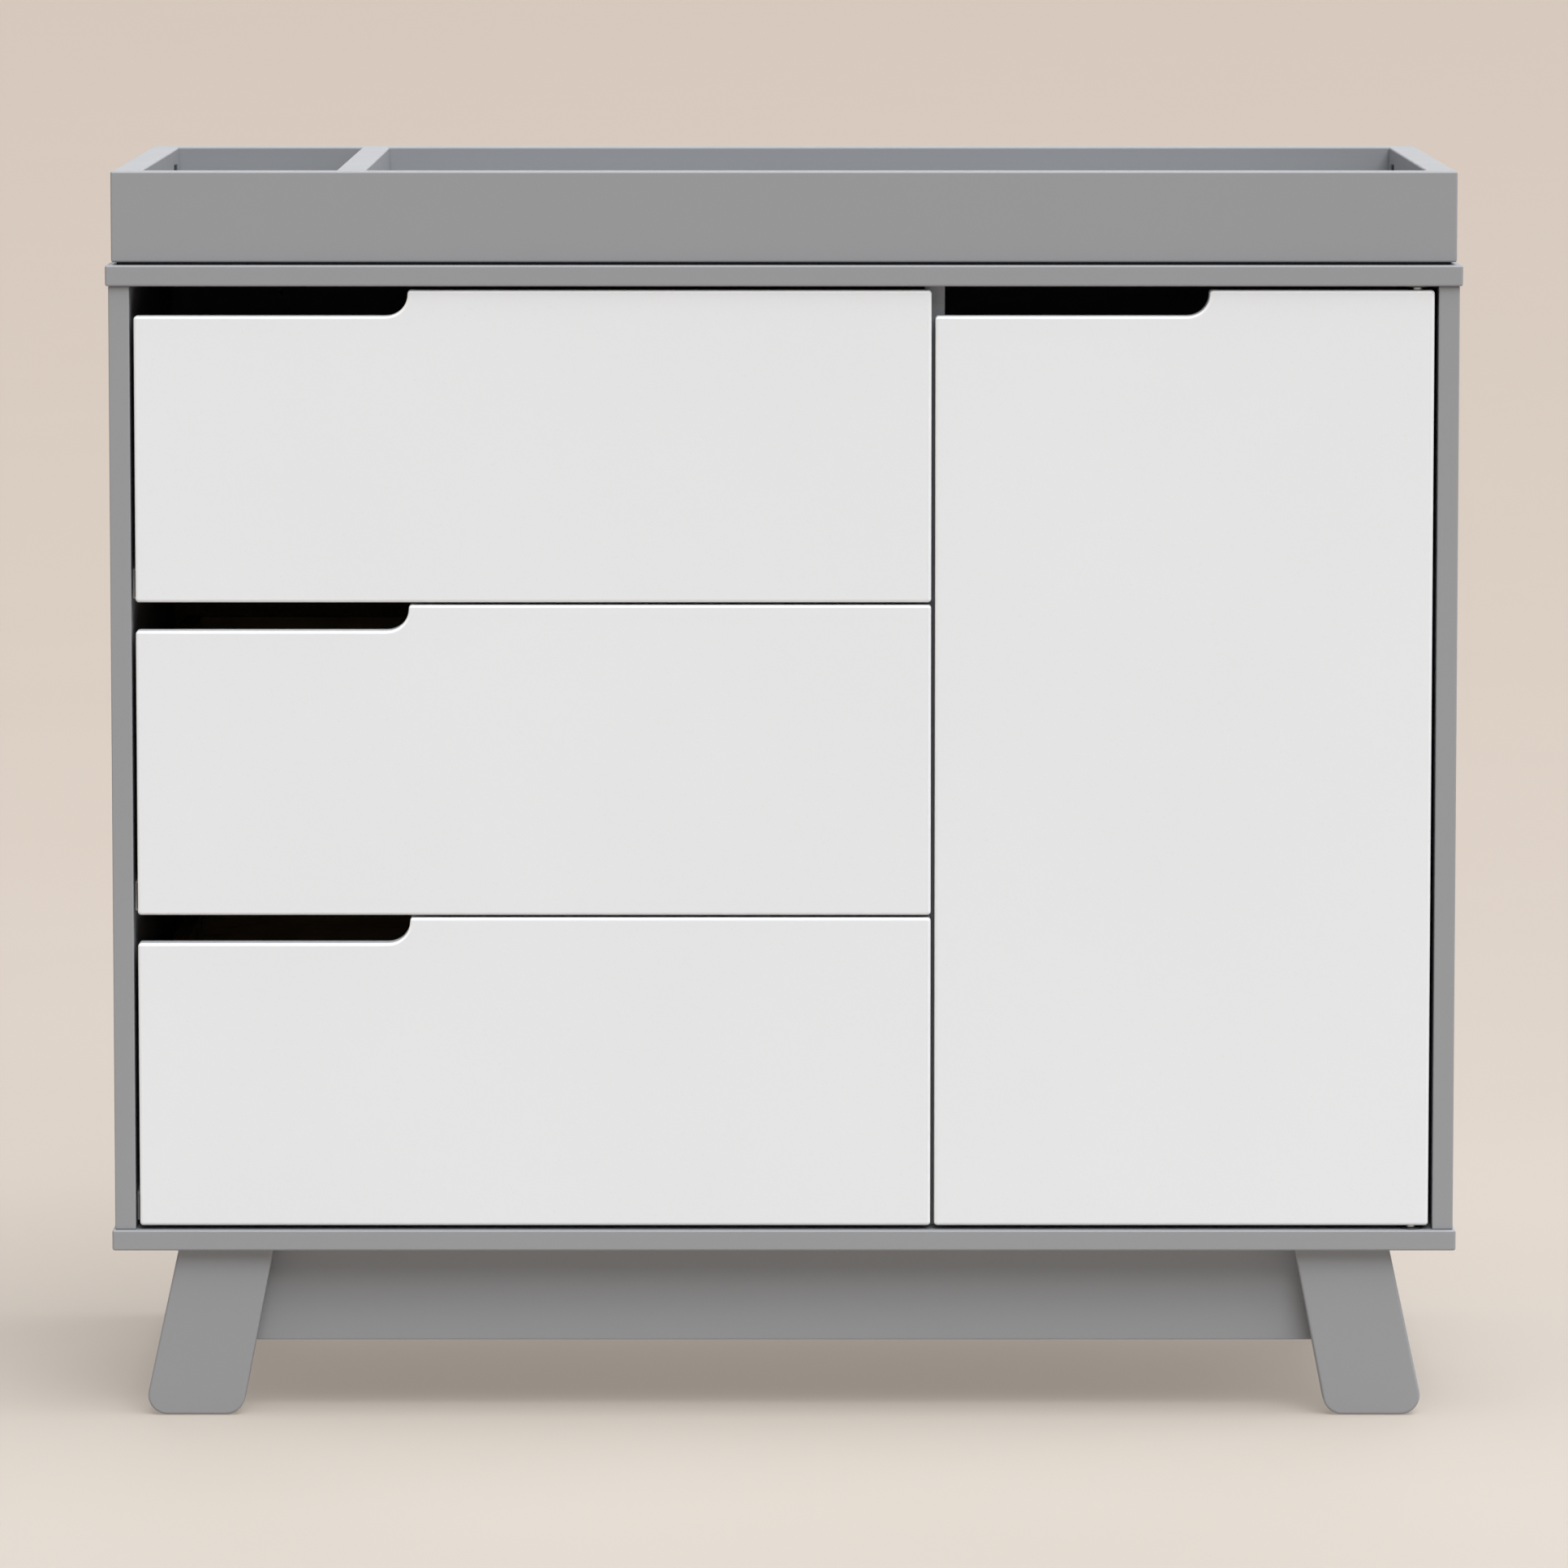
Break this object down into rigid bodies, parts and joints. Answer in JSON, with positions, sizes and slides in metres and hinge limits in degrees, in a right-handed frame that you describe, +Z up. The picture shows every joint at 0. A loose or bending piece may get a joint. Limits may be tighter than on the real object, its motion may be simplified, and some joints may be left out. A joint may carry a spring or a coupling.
{
  "type": "changing table",
  "caption": "Dresser with notched drawer fronts beside a hinged cupboard door, splayed slab legs and a shallow open tray with a divider on top.",
  "frame": {"origin": "on the floor, under the middle of the dresser's footprint", "axes": "+X to the viewer's right along the width, -Y out of the drawer fronts, +Z up"},
  "size_m": [0.975, 0.476, 0.905],
  "materials": {
    "grey_lacquer": "satin grey paint on board",
    "white_lacquer": "satin white paint on board",
    "drawer_wood": "clear-coated plywood",
    "hardboard": "printed hardboard",
    "zinc_steel": "zinc plate",
    "coated_steel": "grey epoxy coat",
    "black_steel": "black powder coat",
    "nylon": "moulded",
    "black_plastic": "moulded",
    "felt_pad": "dense foam"
  },
  "bodies": {
    "cabinet": {"top_board": "grey_lacquer", "bottom_board": "grey_lacquer", "left_side_panel": "grey_lacquer", "right_side_panel": "grey_lacquer", "partition_panel": "grey_lacquer", "back_panel": "hardboard", "wall_rails": "grey_lacquer", "shelves": "grey_lacquer", "shelf_pins": "zinc_steel", "front_left_leg": "grey_lacquer", "front_right_leg": "grey_lacquer", "rear_left_leg": "grey_lacquer", "rear_right_leg": "grey_lacquer", "front_apron": "grey_lacquer", "rear_apron": "grey_lacquer", "base_side_rails": "grey_lacquer", "leg_glides": "nylon", "leg_bolts": "zinc_steel", "cam_locks": "zinc_steel", "cabinet_runners": "coated_steel", "pivot_bushes": "black_plastic", "door_catch": "black_plastic", "tray_front": "grey_lacquer", "tray_back": "grey_lacquer", "tray_left_end": "grey_lacquer", "tray_right_end": "grey_lacquer", "tray_divider": "grey_lacquer", "tray_brackets": "black_steel", "tray_screws": "zinc_steel", "tray_pads": "felt_pad"},
    "drawer_1": {"drawer_1_front": "white_lacquer", "drawer_1_left_side": "drawer_wood", "drawer_1_right_side": "drawer_wood", "drawer_1_back": "drawer_wood", "drawer_1_bottom": "hardboard", "drawer_1_runners": "coated_steel", "drawer_1_fasteners": "zinc_steel"},
    "front_rollers_1": {"drawer_1_front_rollers": "nylon"},
    "rear_rollers_1": {"drawer_1_rear_rollers": "nylon"},
    "drawer_2": {"drawer_2_front": "white_lacquer", "drawer_2_left_side": "drawer_wood", "drawer_2_right_side": "drawer_wood", "drawer_2_back": "drawer_wood", "drawer_2_bottom": "hardboard", "drawer_2_runners": "coated_steel", "drawer_2_fasteners": "zinc_steel"},
    "front_rollers_2": {"drawer_2_front_rollers": "nylon"},
    "rear_rollers_2": {"drawer_2_rear_rollers": "nylon"},
    "drawer_3": {"drawer_3_front": "white_lacquer", "drawer_3_left_side": "drawer_wood", "drawer_3_right_side": "drawer_wood", "drawer_3_back": "drawer_wood", "drawer_3_bottom": "hardboard", "drawer_3_runners": "coated_steel", "drawer_3_fasteners": "zinc_steel"},
    "front_rollers_3": {"drawer_3_front_rollers": "nylon"},
    "rear_rollers_3": {"drawer_3_rear_rollers": "nylon"},
    "door": {"door_panel": "white_lacquer", "door_pivot_pins": "zinc_steel", "strike_plate": "zinc_steel"}
  },
  "joints": [
    {"name": "drawer_1_slide", "type": "slide", "parent": "cabinet", "child": "drawer_1", "axis": [0, -1, 0], "range_m": [0, 0.3]},
    {"name": "drawer_2_slide", "type": "slide", "parent": "cabinet", "child": "drawer_2", "axis": [0, -1, 0], "range_m": [0, 0.3]},
    {"name": "drawer_3_slide", "type": "slide", "parent": "cabinet", "child": "drawer_3", "axis": [0, -1, 0], "range_m": [0, 0.3]},
    {"name": "door_hinge", "type": "hinge", "parent": "cabinet", "child": "door", "pos_m": [0.4555, -0.2265, 0.4805], "axis": [0, 0, 1], "range_deg": [0, 110]},
    {"name": "front_rollers_1_spin", "type": "hinge", "parent": "cabinet", "child": "front_rollers_1", "pos_m": [-0.1848, -0.204, 0.6055], "axis": [1, 0, 0], "continuous": true},
    {"name": "rear_rollers_1_spin", "type": "hinge", "parent": "drawer_1", "child": "rear_rollers_1", "pos_m": [-0.1848, 0.1695, 0.6055], "axis": [1, 0, 0], "continuous": true},
    {"name": "front_rollers_2_spin", "type": "hinge", "parent": "cabinet", "child": "front_rollers_2", "pos_m": [-0.1848, -0.204, 0.3785], "axis": [1, 0, 0], "continuous": true},
    {"name": "rear_rollers_2_spin", "type": "hinge", "parent": "drawer_2", "child": "rear_rollers_2", "pos_m": [-0.1848, 0.1695, 0.3785], "axis": [1, 0, 0], "continuous": true},
    {"name": "front_rollers_3_spin", "type": "hinge", "parent": "cabinet", "child": "front_rollers_3", "pos_m": [-0.1848, -0.204, 0.1515], "axis": [1, 0, 0], "continuous": true},
    {"name": "rear_rollers_3_spin", "type": "hinge", "parent": "drawer_3", "child": "rear_rollers_3", "pos_m": [-0.1848, 0.1695, 0.1515], "axis": [1, 0, 0], "continuous": true}
  ],
  "couplings": [
    {"joint": "front_rollers_1_spin", "follows": "drawer_1_slide", "rad_per_m": 125},
    {"joint": "rear_rollers_1_spin", "follows": "drawer_1_slide", "rad_per_m": 125},
    {"joint": "front_rollers_2_spin", "follows": "drawer_2_slide", "rad_per_m": 125},
    {"joint": "rear_rollers_2_spin", "follows": "drawer_2_slide", "rad_per_m": 125},
    {"joint": "front_rollers_3_spin", "follows": "drawer_3_slide", "rad_per_m": 125},
    {"joint": "rear_rollers_3_spin", "follows": "drawer_3_slide", "rad_per_m": 125}
  ]
}
